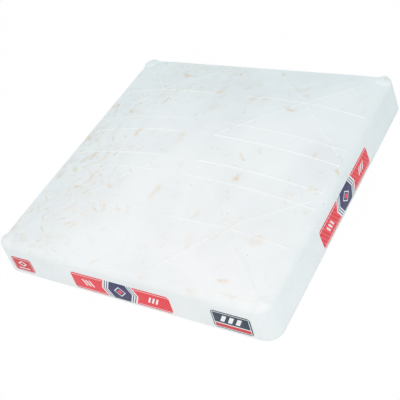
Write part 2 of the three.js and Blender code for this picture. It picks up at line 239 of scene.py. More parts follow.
def grid_stops():
    """Half widths of the rings from the rim to the middle, and how far each lies below the edge."""
    drop = EDGE_RADIUS * (1 - np.sin(arc(ROLL_STEPS)))
    half = wall_half(EDGE_HEIGHT - drop) - EDGE_RADIUS * (1 - np.cos(arc(ROLL_STEPS)))
    count = round(half[-1] / GRID_STEP)
    inner = np.linspace(half[-1], 0, count + 1)[1:]
    return np.concatenate([half, inner]), np.concatenate([drop, np.zeros(count)])


def rows_below(rim_half, rim_level):
    """Half width and height of each row down the side and round the toe."""
    for share in np.linspace(0, 1, WALL_ROWS + 1)[1:]:
        half = rim_half + (wall_half(TOE_RADIUS) - rim_half) * share
        yield half, rim_level + (TOE_RADIUS - rim_level) * share
    for angle in arc(TOE_STEPS)[1:]:
        yield wall_half(0) - TOE_RADIUS * (1 - math.cos(angle)), TOE_RADIUS * (1 - math.sin(angle))


def stretched(along, from_half, to_half):
    """Keeps the straight part of a side, and spreads the corner's part to another ring."""
    past = np.abs(along) - CORNER_CENTRE
    grown = CORNER_CENTRE + past * (to_half - CORNER_CENTRE) / (from_half - CORNER_CENTRE)
    return np.where(past > 0, np.copysign(grown, along), along)


print("rings from the rim to the middle:", len(grid_stops()[0]))

# %% Make the skin
SMOOTH_ANGLE = math.radians(40)


def shade(piece):
    """Smooth faces, with creases where the faces turn sharply."""
    piece.data.polygons.foreach_set("use_smooth", [True] * len(piece.data.polygons))
    piece.data.set_sharp_from_angle(angle=SMOOTH_ANGLE)


def new_piece(name, points, faces):
    mesh = bpy.data.meshes.new(name)
    mesh.from_pydata([tuple(p) for p in points], [], [tuple(f) for f in faces])
    mesh.update()
    piece = bpy.data.objects.new(name, mesh)
    scene.collection.objects.link(piece)
    shade(piece)
    return piece


def at_level(x, y, level):
    """Points at one height, or at a height for each."""
    return np.stack([x, y, np.broadcast_to(level, x.shape)], axis=-1)


def band_faces(upper, lower):
    """Faces between two closed rows of points, the upper one anticlockwise seen from above."""
    return np.stack([lower, np.roll(lower, -1), np.roll(upper, -1), upper], axis=1)


def cover_skin():
    half, drop = grid_stops()
    across = np.concatenate([-half, half[-2::-1]])
    last = len(across) - 1
    column, row = np.meshgrid(np.arange(last + 1), np.arange(last + 1), indexing="ij")
    ring = np.minimum(np.minimum(column, last - column), np.minimum(row, last - row))
    x, y = rounded(across[column], across[row])
    z = EDGE_HEIGHT + crown(x, y) + ear(x, y) + ridges(x, y) - drop[ring]
    points = [at_level(x, y, z).reshape(-1, 3)]
    number = column * (last + 1) + row
    quads = [number[:-1, :-1], number[1:, :-1], number[1:, 1:], number[:-1, 1:]]
    faces = [np.stack(quads, axis=-1).reshape(-1, 4)]

    loop = np.concatenate([number[:-1, 0], number[-1, :-1], number[:0:-1, -1], number[0, :0:-1]])
    square_x, square_y = across[column].ravel()[loop], across[row].ravel()[loop]
    total = number.size
    for row_half, level in rows_below(half[0], z.ravel()[loop]):
        x, y = rounded(stretched(square_x, half[0], row_half), stretched(square_y, half[0], row_half))
        points.append(at_level(x, y, level))
        below = np.arange(total, total + len(loop))
        faces.append(band_faces(loop, below))
        loop, total = below, total + len(below)
    return np.concatenate(points), [*np.concatenate(faces).tolist(), loop[::-1].tolist()]


cover = new_piece("moulded_cover", *cover_skin())
print("points in the skin:", len(cover.data.vertices))

# %% [markdown]
# ## The hollow, the lip and the screw pockets
# Turned over, the cover is a shell with a lip that turns in under the steel rails, and the lip has a
# sunk pocket for each screw. A Solidify modifier makes shells, but the inside here isn't an offset of the
# outside. So closed cutters are made, and a Boolean modifier takes each of them out of the skin.

# %% Make the cutter for the hollow
SIDE_WALL = 9 * MM
TOP_SKIN = 7 * MM
INNER_RADIUS = 4 * MM
LIP_THICKNESS = 9 * MM
POINTS_A_SIDE = 20
CROWN_RINGS = 12


def square_ring(half, level, centre=CORNER_CENTRE):
    """A row of points round a rounded square. The level is a height, or a function of x and y."""
    side = np.linspace(-half, half, POINTS_A_SIDE + 1)[:-1]
    edge = np.full_like(side, half)
    square_x = np.concatenate([side, edge, -side, -edge])
    square_y = np.concatenate([-edge, side, edge, -side])
    x, y = rounded(square_x, square_y, centre)
    return at_level(x, y, level(x, y) if callable(level) else level)


def crowned_rings(inset, sink):
    """Rows over the rolled edge and the crown of a form that lies inside the cover."""
    edge = EDGE_HEIGHT - sink
    rings = []
    for angle in arc(ROLL_STEPS):
        drop = INNER_RADIUS * (1 - math.sin(angle))
        half = wall_half(edge - drop) - inset - INNER_RADIUS * (1 - math.cos(angle))
        rings.append(square_ring(half, lambda x, y: edge - drop + crown(x, y)))
    for share in np.linspace(1, 0, CROWN_RINGS + 1)[1:-1]:
        rings.append(square_ring(half * share, lambda x, y: edge + crown(x, y)))
    return rings


def row_faces(rows, tube=False):
    """Faces between rows of point numbers, closed at both ends or, in a tube, joined end to end."""
    above = np.roll(rows, -1, axis=0) if tube else rows[1:]
    faces = [face for low, high in zip(rows, above) for face in band_faces(high, low).tolist()]
    if not tube:
        faces += [rows[0][::-1].tolist(), rows[-1].tolist()]
    return faces


def lofted(name, rings, tube=False):
    """A closed piece over rows of points from bottom to top. A tube's rows come back down inside it."""
    count = len(rings[0])
    rows = np.arange(count * len(rings)).reshape(len(rings), count)
    return new_piece(name, np.concatenate(rings), row_faces(rows, tube))


hollow_foot = square_ring(wall_half(LIP_THICKNESS) - SIDE_WALL, LIP_THICKNESS)
hollow = lofted("hollow", [hollow_foot, *crowned_rings(SIDE_WALL, TOP_SKIN)])
print("points in the cutter:", len(hollow.data.vertices))

# %% Cut the hollow and the mouth of the lip
LIP_REACH = 42 * MM
LIP_RADIUS = 1.5 * MM
MOUTH_HALF = BASE_HALF - LIP_REACH
SAME_POINT = 0.002 * MM


def reworked(mesh, change):
    """The mesh after a change by bmesh."""
    form = bmesh.new()
    form.from_mesh(mesh)
    change(form)
    form.to_mesh(mesh)
    form.free()
    return mesh


def join_points(form):
    """Makes points that lie on each other one, so that no face is left without an area."""
    bmesh.ops.remove_doubles(form, verts=form.verts, dist=SAME_POINT)


def carve(piece, cutter):
    cut = piece.modifiers.new("carve", "BOOLEAN")
    cut.operation = "DIFFERENCE"
    cut.solver = "MANIFOLD"
    cut.object = cutter
    cut_piece = piece.evaluated_get(bpy.context.evaluated_depsgraph_get())
    carved = bpy.data.meshes.new_from_object(cut_piece)
    piece.modifiers.clear()
    piece.data = reworked(carved, join_points)
    bpy.data.objects.remove(cutter)
    shade(piece)


carve(cover, hollow)
lip_halves = MOUTH_HALF + LIP_RADIUS * (1 - np.sin(arc(TOE_STEPS)))
lip_levels = LIP_RADIUS * (1 - np.cos(arc(TOE_STEPS)))
mouth_halves = [lip_halves[0], *lip_halves, MOUTH_HALF]
mouth_levels = [-LIP_THICKNESS, *lip_levels, 2 * LIP_THICKNESS]
mouth_centre = MOUTH_HALF - CORNER_RADIUS
mouth = [square_ring(half, level, mouth_centre) for half, level in zip(mouth_halves, mouth_levels)]
carve(cover, lofted("mouth", mouth))
print("points with the hollow:", len(cover.data.vertices))

# %% Cut the screw pockets
ROUND_SIDES = 40
POCKET_RADIUS = 9 * MM
POCKET_DEPTH = 5.4 * MM
SCREW_HOLE_RADIUS = 2.8 * MM


def round_pegs(name, places, radius, low, high):
    """Upright round cutters at these places."""
    def add_pegs(form):
        for place in places:
            spot = Matrix.Translation((place.x, place.y, (low + high) / 2))
            bmesh.ops.create_cone(
                form, cap_ends=True, segments=ROUND_SIDES, radius1=radius, radius2=radius,
                depth=high - low, matrix=spot)
    peg = new_piece(name, [], [])
    reworked(peg.data, add_pegs)
    return peg


screw_nodes = sorted(name for name in frame["nodes"] if name.startswith("cover_screw"))
screw_places = [sum(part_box(name), Vector()) / 2 for name in screw_nodes]
carve(cover, round_pegs("pockets", screw_places, POCKET_RADIUS, -LIP_THICKNESS, POCKET_DEPTH))
carve(cover, round_pegs("holes", screw_places, SCREW_HOLE_RADIUS, 0, 2 * LIP_THICKNESS))
print("cover with", len(screw_places), "pockets:", len(cover.data.vertices), "points")

# %% [markdown]
# ## A piece in place of solids
# A dressed piece takes the place of one or more solids of the imported model, which are hidden, and it
# rides on a moving body. One helper does that, and it keeps a list of the pieces of each material, so
# that the finishes can be handed out later. It also prints what has been made.

# %% Hand the cover over
pieces_of = {}


def stands_for(piece, slot, *nodes, body="base"):
    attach(piece, body)
    if nodes:
        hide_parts(*nodes)
    pieces_of.setdefault(slot, []).append(piece)
    print(piece.name, "in", slot, "with", len(piece.data.vertices), "points")


stands_for(cover, "white_rubber", "rubber_cover")

# %% [markdown]
# ## The foam core
# Under the crown lies a block of closed-cell foam, which gives under a foot. It is pressed in over the
# steel frame, so it bulges slightly through the four openings of the frame, and its sides draw in above
# the rails. A cloth simulation with pressure can make such a bulge, but the foam is held nearly all
# round, so a smooth formula is enough.

# %% Shape the foam
FOAM_INSET = 9.3 * MM
FOAM_SINK = 7.3 * MM
FOAM_BULGE = 0.7 * MM
FOAM_WAIST = 0.8 * MM
WAIST_RISE = 3 * MM
ARM_HOLDS = 10 * MM
ARM_FADE = 40 * MM
RAIL_FADE = 30 * MM
PLATE_HOLDS = 30 * MM
PLATE_FADE = 30 * MM
UNDER_RINGS = 24
rail_low, rail_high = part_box("frame_rail_front")
foam_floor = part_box("foam_core")[0].z


def bulge(x, y):
    """How far the foam hangs through the frame: nothing on the rails, the arms and the plate."""
    x, y = np.abs(x), np.abs(y)
    out = np.maximum(x, y)
    from_arm = smooth_step((np.abs(x - y) - ARM_HOLDS) / ARM_FADE)
    from_rail = smooth_step((-rail_high.y - out) / RAIL_FADE)
    from_plate = smooth_step((out - PLATE_HOLDS) / PLATE_FADE)
    return FOAM_BULGE * from_arm * from_rail * from_plate


foam_foot = wall_half(foam_floor) - FOAM_INSET
foam_rings = [
    square_ring(foam_foot * share, lambda x, y: foam_floor - bulge(x, y))
    for share in np.linspace(0, 1, UNDER_RINGS + 1)[1:]
]
waist_level = foam_floor + WAIST_RISE
foam_rings.append(square_ring(wall_half(waist_level) - FOAM_INSET - FOAM_WAIST, waist_level))
foam_rings += crowned_rings(FOAM_INSET, FOAM_SINK)
foam = lofted("pressed_foam", foam_rings)
print("points in the foam:", len(foam.data.vertices))

# %% Cut the recess for the socket's plate
RECESS_HALF = 21 * MM
RECESS_CORNER = 2 * MM
RECESS_ROOM = 0.3 * MM
CUTTER_DROP = 5 * MM
recess_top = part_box("socket_top_plate")[1].z + RECESS_ROOM
recess_levels = (foam_floor - CUTTER_DROP, recess_top)
recess = [square_ring(RECESS_HALF, level, RECESS_HALF - RECESS_CORNER) for level in recess_levels]
carve(foam, lofted("recess", recess))
stands_for(foam, "grey_foam", "foam_core")

# %% [markdown]
# ## The labels
# Each label is a thin vinyl sticker with round corners on a side that leans in by about five degrees.
# It could be part of the cover's material, but a real sticker has an edge that catches light, so each
# label is a thin plate laid on the lean. Its mesh stays centred on its own origin, so that the print can
# be measured from the middle. The label of the right side is built in front and turned a quarter round.

# %% Make the labels
LEAN_ANGLE = math.atan(LEAN)
LABEL_CORNER = 4 * MM
CORNER_STEPS = 8
# How far each row of a label's edge stands off the side, and how far it is drawn in, in millimetres
LABEL_LAYERS = np.array([(0.02, 0.0), (0.30, 0.0), (0.42, 0.12), (0.45, 0.30)])
LABELS = (
    ("small_label", "red_label", "label_small_front", 0.0),
    ("front_strip", "strip_label", "label_strip_front", 0.0),
    ("side_strip", "strip_label", "label_strip_side", QUARTER),
    ("front_patch", "navy_label", "label_patch_front", 0.0),
)


def box_outline(half_x, half_y, corner):
    """A rectangle with round corners, anticlockwise."""
    right, up = corner * np.cos(arc(CORNER_STEPS)), corner * np.sin(arc(CORNER_STEPS))
    x = np.repeat([1, -1, -1, 1], CORNER_STEPS + 1) * (half_x - corner)
    y = np.repeat([1, 1, -1, -1], CORNER_STEPS + 1) * (half_y - corner)
    return x + np.concatenate([right, -up, -right, up]), y + np.concatenate([up, right, -up, -right])


def new_label(name, node, turn):
    """A label on the leaning front side, then turned. Its layers lie further and further off the side."""
    low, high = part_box(node)
    axis = 1 if turn else 0
    middle, half = (high + low) / 2, (high - low) / 2
    sine, cosine = math.sin(LEAN_ANGLE), math.cos(LEAN_ANGLE)
    rings = []
    for lift, inset in LABEL_LAYERS * MM:
        along, up = box_outline(half[axis] - inset, half.z - inset, LABEL_CORNER)
        up = up + middle.z
        rings.append(at_level(along, -BASE_HALF + up * sine - lift * cosine, up * cosine + lift * sine))
    label = lofted(name, rings)
    label.matrix_world = Matrix.Rotation(turn, 4, "Z") @ Matrix.Translation((middle[axis], 0, 0))
    return label


for name, slot, node, turn in LABELS:
    stands_for(new_label(name, node, turn), slot, node)

# %% [markdown]
# ## The steel frame
# Four steel angles are mitred and welded into a square, and four flat bars on edge tie it to a socket in
# the middle. Rolled steel has a rounded root and toes, and sawn steel has broken edges. A curve with a
# bevel could be swept, but the mitre is easier here: one outline is drawn along the side, longer or
# shorter at each point. The mesh is made once and shared by four objects, each turned a quarter further.

# %% Make the rails
STEEL = 4 * MM
HEEL_CURVE = 1 * MM
END_CURVE = 0.5 * MM
TOE_CURVE = 2.5 * MM
ROOT_CURVE = 4 * MM
CURVE_STEPS = 4
MITRE_GAP = 0.15 * MM
SIDES = ("front", "right", "back", "left")


def softened(corners):
    """An outline in which every corner (x, y, cut) becomes a curve that starts that far from it."""
    points = np.array([corner[:2] for corner in corners])
    share = np.linspace(0, 1, CURVE_STEPS + 1)[:, None]
    outline = []
    for here, before, after, corner in zip(points, np.roll(points, 1, 0), np.roll(points, -1, 0), corners):
        first = here + (before - here) / np.linalg.norm(before - here) * corner[2]
        last = here + (after - here) / np.linalg.norm(after - here) * corner[2]
        outline.append((1 - share) ** 2 * first + 2 * share * (1 - share) * here + share ** 2 * last)
    return np.concatenate(outline)


def stand_copies(shape, slot, nodes, places):
    """Objects that share one mesh, each in its own place and standing for its own solid."""
    for node, place in zip(nodes, places):
        copy = bpy.data.objects.new("dressed_" + node, shape.data)
        copy.matrix_world = place
        scene.collection.objects.link(copy)
        stands_for(copy, slot, node)
    bpy.data.objects.remove(shape)


def quarter_turns(start=0.0):
    return [Matrix.Rotation(start + step * QUARTER, 4, "Z") for step in range(4)]


rail_y, rail_z = softened([
    (rail_low.y, rail_low.z, HEEL_CURVE),
    (rail_high.y, rail_low.z, END_CURVE),
    (rail_high.y, rail_low.z + STEEL, TOE_CURVE),
    (rail_low.y + STEEL, rail_low.z + STEEL, ROOT_CURVE),
    (rail_low.y + STEEL, rail_high.z, TOE_CURVE),
    (rail_low.y, rail_high.z, END_CURVE),
]).T
rail = lofted("rail", [at_level(end * (-rail_y - MITRE_GAP), rail_y, rail_z) for end in (-1, 1)])
front_screws = [place for place in screw_places if place.y < rail_high.y]
carve(rail, round_pegs("rail_holes", front_screws, SCREW_HOLE_RADIUS, 0, rail_high.z / 2))
stand_copies(rail, "galvanised_steel", ["frame_rail_" + side for side in SIDES], quarter_turns())

# %% Make the arms
ARM_HALF = 3 * MM
ARM_EDGE = 0.6 * MM
WELD_GAP = 0.3 * MM
CORNERS = ("back_right", "back_left", "front_left", "front_right")


def break_edges(form):
    """Bevels the sharp edges."""
    sharp = [edge for edge in form.edges if edge.calc_face_angle(0) > SMOOTH_ANGLE]
    bmesh.ops.bevel(
        form, geom=sharp, offset=ARM_EDGE, segments=2, profile=0.5, affect="EDGES", clamp_overlap=True)


arm_low, arm_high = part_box("frame_arm_back_right")
socket_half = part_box("post_socket")[1].x
notch = (socket_half + WELD_GAP) * math.sqrt(2)
point = arm_high.x * math.sqrt(2)
arm_plan = np.array([
    (notch, 0), (notch - ARM_HALF, -ARM_HALF), (point - ARM_HALF, -ARM_HALF),
    (point, 0), (point - ARM_HALF, ARM_HALF), (notch - ARM_HALF, ARM_HALF),
])
arm = lofted("arm", [at_level(*arm_plan.T, level) for level in (arm_low.z, arm_high.z)])
reworked(arm.data, break_edges)
shade(arm)
arm_nodes = ["frame_arm_" + corner for corner in CORNERS]
stand_copies(arm, "galvanised_steel", arm_nodes, quarter_turns(QUARTER / 2))

# %% [markdown]
# ## The socket and the post
# The socket is a piece of square tube that the post slides in, closed by a plate at the top. The post is
# a smaller tube. A box with a smaller box cut out of it would have sharp edges, and cut tube has its edges
# broken. So the rows of points go up the outside, over the edge and down the inside, with a small step.

# %% Make the socket, its plate and the post
TUBE_CORNER = 2 * MM
EDGE_BREAK = 0.5 * MM
SOCKET_WALL = 2.7 * MM
POST_WALL = 3.2 * MM
BOLT_HOLE_RADIUS = 5.4 * MM
BOLT_HOLE_START = 6 * MM
BOLT_HOLE_END = 30 * MM


def cut_rings(node, corner, wall=0.0):
    """Rows of a cut square piece, or of the inside of its wall, from bottom to top with broken edges."""
    low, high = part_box(node)
    half = high.x - wall
    end = half + EDGE_BREAK if wall else half - EDGE_BREAK
    rows = ((end, low.z), (half, low.z + EDGE_BREAK), (half, high.z - EDGE_BREAK), (end, high.z))
    return [at_level(*box_outline(side, side, corner), level) for side, level in rows]


def square_tube(name, node, wall):
    rings = cut_rings(node, TUBE_CORNER) + cut_rings(node, TUBE_CORNER / 2, wall)[::-1]
    return lofted(name, rings, tube=True)


bolt_low, bolt_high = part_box("clamp_bolt")
bolt_level = (bolt_low.z + bolt_high.z) / 2
on_clamp_axis = Matrix.Translation((0, 0, bolt_level)) @ Matrix.Rotation(QUARTER, 4, "X")
socket = square_tube("socket_tube", "post_socket", SOCKET_WALL)
bolt_hole = round_pegs("bolt_hole", [Vector()], BOLT_HOLE_RADIUS, BOLT_HOLE_START, BOLT_HOLE_END)
bolt_hole.matrix_world = on_clamp_axis
carve(socket, bolt_hole)
stands_for(socket, "galvanised_steel", "post_socket")
plate = lofted("closing_plate", cut_rings("socket_top_plate", STEEL))
stands_for(plate, "galvanised_steel", "socket_top_plate")
post = square_tube("post_tube", "stanchion_post", POST_WALL)
stands_for(post, "galvanised_steel", "stanchion_post", body="stanchion")

# %% [markdown]
# ## Weld beads
# The bars are welded to the socket and to the rails, and the nut to the socket. A bead is laid as a row
# of small overlapping pools, so it looks like a rope of ripples. A plain bar with a bump would do from
# afar. Here one bead is a round bar with a ripple every two millimetres, and copies go into every corner.

# %% Shape one bead
BEAD_RADIUS = 1.6 * MM
BEAD_SIDES = 10
RIPPLE = 2.2 * MM
RIPPLE_STEPS = 6
RIPPLE_DEPTH = 0.16
RIPPLE_LAG = 0.25
LEAST_STEPS = 8
END_POWER = 12
LEAST_END = 0.02


def bead(length):
    """Points of one bead along Z, in rows of BEAD_SIDES."""
    steps = max(LEAST_STEPS, round(length / (RIPPLE / RIPPLE_STEPS)))
    along = np.linspace(0, 1, steps + 1)
    ripple = 1 - RIPPLE_DEPTH * np.abs(np.sin(along * length / RIPPLE * math.pi)) ** 3
    ends = np.sqrt(np.clip(1 - (2 * np.abs(along - 0.5)) ** END_POWER, LEAST_END, 1))
    turn = np.arange(BEAD_SIDES) / BEAD_SIDES * FULL_TURN
    size = (BEAD_RADIUS * ripple * ends)[:, None]
    lag = RIPPLE_LAG * RIPPLE * np.cos(turn)[None, :]
    return at_level(size * np.cos(turn), size * np.sin(turn), along[:, None] * length + lag)


print("rows in a bead of 20 mm:", len(bead(20 * MM)))

# %% Lay the beads
NOTCH_BEAD = 2.6 * MM
POINT_BEAD = 3.2 * MM
ARM_BEAD = 3.3 * MM
FLAT_BEAD = 0.3 * MM
SEAT_BEAD = 0.4 * MM
SIXTH = FULL_TURN / 6
nut_low, nut_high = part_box("clamp_nut")
nut_seat, nut_end = -nut_high.y, -nut_low.y


def bead_places():
    """Length and matrix of each bead: upright beside each bar, at both its ends, and round the nut."""
    height = arm_high.z - arm_low.z
    for turn in quarter_turns(QUARTER / 2):
        for along in (notch - NOTCH_BEAD, point - POINT_BEAD):
            for aside in (-ARM_BEAD, ARM_BEAD):
                yield height, turn @ Matrix.Translation((along, aside, arm_low.z))
    flat = nut_high.x
    edge = 2 * flat / math.sqrt(3)
    start = Matrix.Translation((flat + FLAT_BEAD, -edge / 2, nut_seat + SEAT_BEAD))
    for step in range(6):
        around = Matrix.Rotation(step * SIXTH, 4, "Z")
        yield edge, on_clamp_axis @ around @ start @ Matrix.Rotation(-QUARTER, 4, "X")


bead_points, bead_faces = [], []
total = 0
for length, place in bead_places():
    points = bead(length)
    rows = np.arange(total, total + points.size // 3).reshape(points.shape[:2])
    bead_points.append(points.reshape(-1, 3) @ np.array(place.to_3x3()).T + np.array(place.translation))
    bead_faces += row_faces(rows)
    total += rows.size
beads = new_piece("weld_beads", np.concatenate(bead_points), bead_faces)
stands_for(beads, "galvanised_steel")

# %% [markdown]
# ## Bolt, nut, screws and washers
# A thread is a groove that climbs by one pitch in every turn. A Screw modifier can sweep one, but its
# ends are awkward to close. Here the rows of points are round, and the radius of each point depends on
# where it lies between two crests, so the groove winds by itself. The corners of a hexagon are turned
# off by a cone, so its radius is the smaller one of the hexagon's and the cone's.

# %% Make the clamp bolt
TURN_STEPS = 48
AROUND = np.arange(TURN_STEPS) / TURN_STEPS * FULL_TURN
STEPS_A_PITCH = 8
CREST_SHARE = 0.125
FLANK_SHARE = 0.625
LEAD_DEPTH = 1.1
BOLT_RADIUS = 5 * MM
BOLT_PITCH = 1.5 * MM
BOLT_GROOVE = 0.92 * MM
BOLT_LEAD = 1.4 * MM
BOLT_NECK = 2 * MM
HEAD_HEIGHT = 6.4 * MM
HEX_HALF = 8.5 * MM
HEX_START = 0.35 * MM
HEXAGON = HEX_HALF / np.cos((AROUND + SIXTH / 2) % SIXTH - SIXTH / 2)
CONE_SLOPE = math.sqrt(3)
CONE_START = 0.95
CHAMFER = (0, 0.3 * MM, 0.6 * MM, 0.9 * MM, 1.2 * MM)
# Radius of a row, and its height above the seat or the top of the head, in millimetres
NECK_AND_SEAT = ((4.1, -1.9), (4.1, -0.3), (7.8, 0.0), (8.0, 0.3))
HEAD_DISH = ((7.0, 0.0), (6.6, -0.25))


def round_ring(radius, level):
    """A round row of points. The radius is one number, or one for each point."""
    return at_level(radius * np.cos(AROUND), radius * np.sin(AROUND), level)


def turned_rings(profile, level):
    """Round rows from pairs of a radius and a height above the level, in millimetres."""
    return [round_ring(radius * MM, level + height * MM) for radius, height in profile]


def thread_rings(radius, pitch, depth, start, end, lead):
    """Rows of a thread between two levels. The crests shrink over the lead at the start."""
    rings = []
    for level in np.arange(start, end, pitch / STEPS_A_PITCH):
        phase = (level / pitch - AROUND / FULL_TURN) % 1
        cut = depth * np.clip((np.abs(2 * phase - 1) - CREST_SHARE) / FLANK_SHARE, 0, 1)
        limit = radius - depth * LEAD_DEPTH * max(0.0, 1 - (level - start) / lead)
        rings.append(round_ring(np.minimum(radius - cut, limit), level))
    return rings


def hex_rings(face, way):
    """Rows of a hexagon with its corners turned off towards a face, upwards from it or up to it."""
    depths = CHAMFER if way > 0 else CHAMFER[::-1]
    cones = [CONE_START * HEX_HALF + CONE_SLOPE * depth for depth in depths]
    return [round_ring(np.minimum(HEXAGON, cone), face + way * depth) for cone, depth in zip(cones, depths)]


bolt_tip, head_top = -bolt_high.y, -bolt_low.y
head_seat = head_top - HEAD_HEIGHT
bolt_rings = thread_rings(BOLT_RADIUS, BOLT_PITCH, BOLT_GROOVE, bolt_tip, head_seat - BOLT_NECK, BOLT_LEAD)
bolt_rings += turned_rings(NECK_AND_SEAT, head_seat)
bolt_rings.append(round_ring(HEXAGON, head_seat + HEX_START))
bolt_rings += hex_rings(head_top, -1) + turned_rings(HEAD_DISH, head_top)
clamp_bolt = lofted("set_bolt", bolt_rings)
clamp_bolt.matrix_world = on_clamp_axis
stands_for(clamp_bolt, "zinc_plate", "clamp_bolt", body="clamp_bolt")

# %% Make the nut
NUT_SINK = 0.7 * MM
nut_mouth = BOLT_HOLE_RADIUS + NUT_SINK
nut_rings = [round_ring(nut_mouth, nut_seat), *hex_rings(nut_seat, 1)]
nut_rings += [*hex_rings(nut_end, -1), round_ring(nut_mouth, nut_end)]
nut_rings += [round_ring(BOLT_HOLE_RADIUS, level) for level in (nut_end - NUT_SINK, nut_seat + NUT_SINK)]
clamp_nut = lofted("weld_nut", nut_rings, tube=True)
clamp_nut.matrix_world = on_clamp_axis
stands_for(clamp_nut, "zinc_plate", "clamp_nut")

# %% Make the screws
HEAD_RADIUS = 4.75 * MM
HEAD_FACE = 2.8 * MM
HEAD_DOME = 2.2 * MM
DOME_STEPS = 8
SHANK_RADIUS = 2.4 * MM
SCREW_PITCH = 1.6 * MM
SCREW_GROOVE = 0.5 * MM
SCREW_LEAD = 0.1 * MM
SHANK_START = 3.05 * MM
SHANK_REST = 1 * MM
# Radius and height in millimetres, from the face of the head and from the tip
HEAD_RIM = ((4.75, 2.8), (4.55, 3.0))
SCREW_TIP = ((1.8, -0.9), (1.2, 0.0))
# The recess in the head: half length and half width of its bars, then size and depth of both its ends
CROSS_ARM = 2.4 * MM
CROSS_WEB = 0.5 * MM
CROSS_ENDS = ((1.1, -1 * MM), (0.6, 1.7 * MM))


def cross_outline():
    """A cross: one corner turned by quarters, which complex numbers do with 1j."""
    corner = np.array([CROSS_WEB - CROSS_ARM * 1j, CROSS_WEB - CROSS_WEB * 1j, CROSS_ARM - CROSS_WEB * 1j])
    return np.concatenate([corner * 1j ** quarter for quarter in range(4)])


screw_low, screw_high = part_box(screw_nodes[0])
screw_rings = []
for turn in arc(DOME_STEPS):
    radius = HEAD_FACE + (HEAD_RADIUS - HEAD_FACE) * math.sin(turn)
    screw_rings.append(round_ring(radius, screw_low.z + HEAD_DOME * (1 - math.cos(turn))))
screw_rings += turned_rings(HEAD_RIM, screw_low.z)
shank_ends = screw_low.z + SHANK_START, screw_high.z - SHANK_REST
screw_rings += thread_rings(SHANK_RADIUS, SCREW_PITCH, SCREW_GROOVE, *shank_ends, SCREW_LEAD)
screw_rings += turned_rings(SCREW_TIP, screw_high.z)
screw = lofted("screw", screw_rings)
plan = cross_outline()
cross = [at_level(plan.real * size, plan.imag * size, screw_low.z + depth) for size, depth in CROSS_ENDS]
carve(screw, lofted("cross_recess", cross))
spots = [Matrix.Translation((place.x, place.y, 0)) for place in screw_places]
stand_copies(screw, "zinc_plate", screw_nodes, spots)

# %% Make the washers
# Radius and height of the rows in millimetres: the outer foot, over the top, and the inner foot
OUTER_FOOT = ((7.8, 0.0), (8.0, 0.25))
WASHER_TOP = ((8.0, -0.1), (7.9, 0.0), (2.9, 0.0), (2.8, -0.1))
INNER_FOOT = ((2.8, 0.1), (2.9, 0.0))
washer_low, washer_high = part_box("cover_washer_1")
washer_rings = turned_rings(OUTER_FOOT, washer_low.z) + turned_rings(WASHER_TOP, washer_high.z)
washer_rings += turned_rings(INNER_FOOT, washer_low.z)
washer = lofted("washer", washer_rings, tube=True)
stand_copies(washer, "zinc_plate", [name.replace("screw", "washer") for name in screw_nodes], spots)

# %% [markdown]
# ## Making a finish from nodes
# A finish is a node tree that ends in one Principled shader. It can be wired by hand, but helpers keep it
# readable and the same every time: they add a node, do arithmetic, mix colours, or turn a range of values
# into a soft mask. An output knows its tree, so only the nodes that start a tree have to be told.

# %% Add nodes and do arithmetic
def put(tree, kind, inputs=None, **settings):
    node = tree.nodes.new("ShaderNode" + kind)
    for key, value in settings.items():
        setattr(node, key, value)
    for key, value in (inputs or {}).items():
        feed(node.inputs[key], value)
    return node


def feed(socket, value):
    """Links an output to an input, or sets the input to a number, a vector or a colour."""
    if isinstance(value, bpy.types.NodeSocket):
        socket.id_data.links.new(value, socket)
    else:
        socket.default_value = value


def calc(operation, *values, kind="Math"):
    """Arithmetic. At least one of the values is an output, and it tells the tree."""
    tree = next(value.id_data for value in values if isinstance(value, bpy.types.NodeSocket))
    return put(tree, kind, dict(enumerate(values)), operation=operation).outputs[0]


def vector_calc(operation, *values):
    return calc(operation, *values, kind="VectorMath")


def times(first, *others):
    for other in others:
        first = calc("MULTIPLY", first, other)
    return first


def largest(first, *others):
    for other in others:
        first = calc("MAXIMUM", first, other)
    return first


def scaled(value, factor, offset):
    return calc("MULTIPLY_ADD", value, factor, offset)


def absolute(value):
    return calc("ABSOLUTE", value)


def colour(red, green, blue):
    """A colour as a screen shows it, from 0 to 255, turned into the linear values that nodes use."""
    def linear(part):
        part /= 255
        return part / 12.92 if part <= 0.04045 else ((part + 0.055) / 1.055) ** 2.4
    return linear(red), linear(green), linear(blue), 1.0


print("mid grey on the screen is", round(colour(128, 128, 128)[0], 3), "in a node")

# %% Masks, textures and finishes
def mixed(share, first, second):
    """A colour between two others. Inputs 6 and 7 of the Mix node are its two colours."""
    inputs = {0: share, 6: first, 7: second}
    return put(share.id_data, "Mix", inputs, data_type="RGBA").outputs[2]


def mask(value, low, high):
    """Rises softly from 0 at low to 1 at high. Low may be the larger one."""
    inputs = {"Value": value, "From Min": low, "From Max": high}
    return put(value.id_data, "MapRange", inputs, interpolation_type="SMOOTHSTEP").outputs[0]


def noise(place, scale, detail=3.0, roughness=0.55):
    inputs = {"Vector": place, "Scale": scale, "Detail": detail, "Roughness": roughness}
    return put(place.id_data, "TexNoise", inputs).outputs["Fac"]


def patches(place, scale, low, high):
    """A mask of ragged patches, as dust leaves them."""
    return mask(noise(place, scale, 5.0, 0.65), low, high)


def voronoi(place, scale, **settings):
    """Cells, so many to a metre, and three random numbers for each cell."""
    cells = put(place.id_data, "TexVoronoi", {"Vector": place, "Scale": scale}, **settings)
    chances = put(place.id_data, "SeparateColor", {0: cells.outputs["Color"]}).outputs
    return cells.outputs, chances


def split(vector):
    return put(vector.id_data, "SeparateXYZ", {0: vector}).outputs


def bump(height, distance, strength):
    inputs = {"Height": height, "Distance": distance, "Strength": strength}
    return put(height.id_data, "Bump", inputs).outputs[0]


def new_finish(name):
    material = bpy.data.materials.new(name)
    material.use_nodes = True
    return material, material.node_tree.nodes["Principled BSDF"]


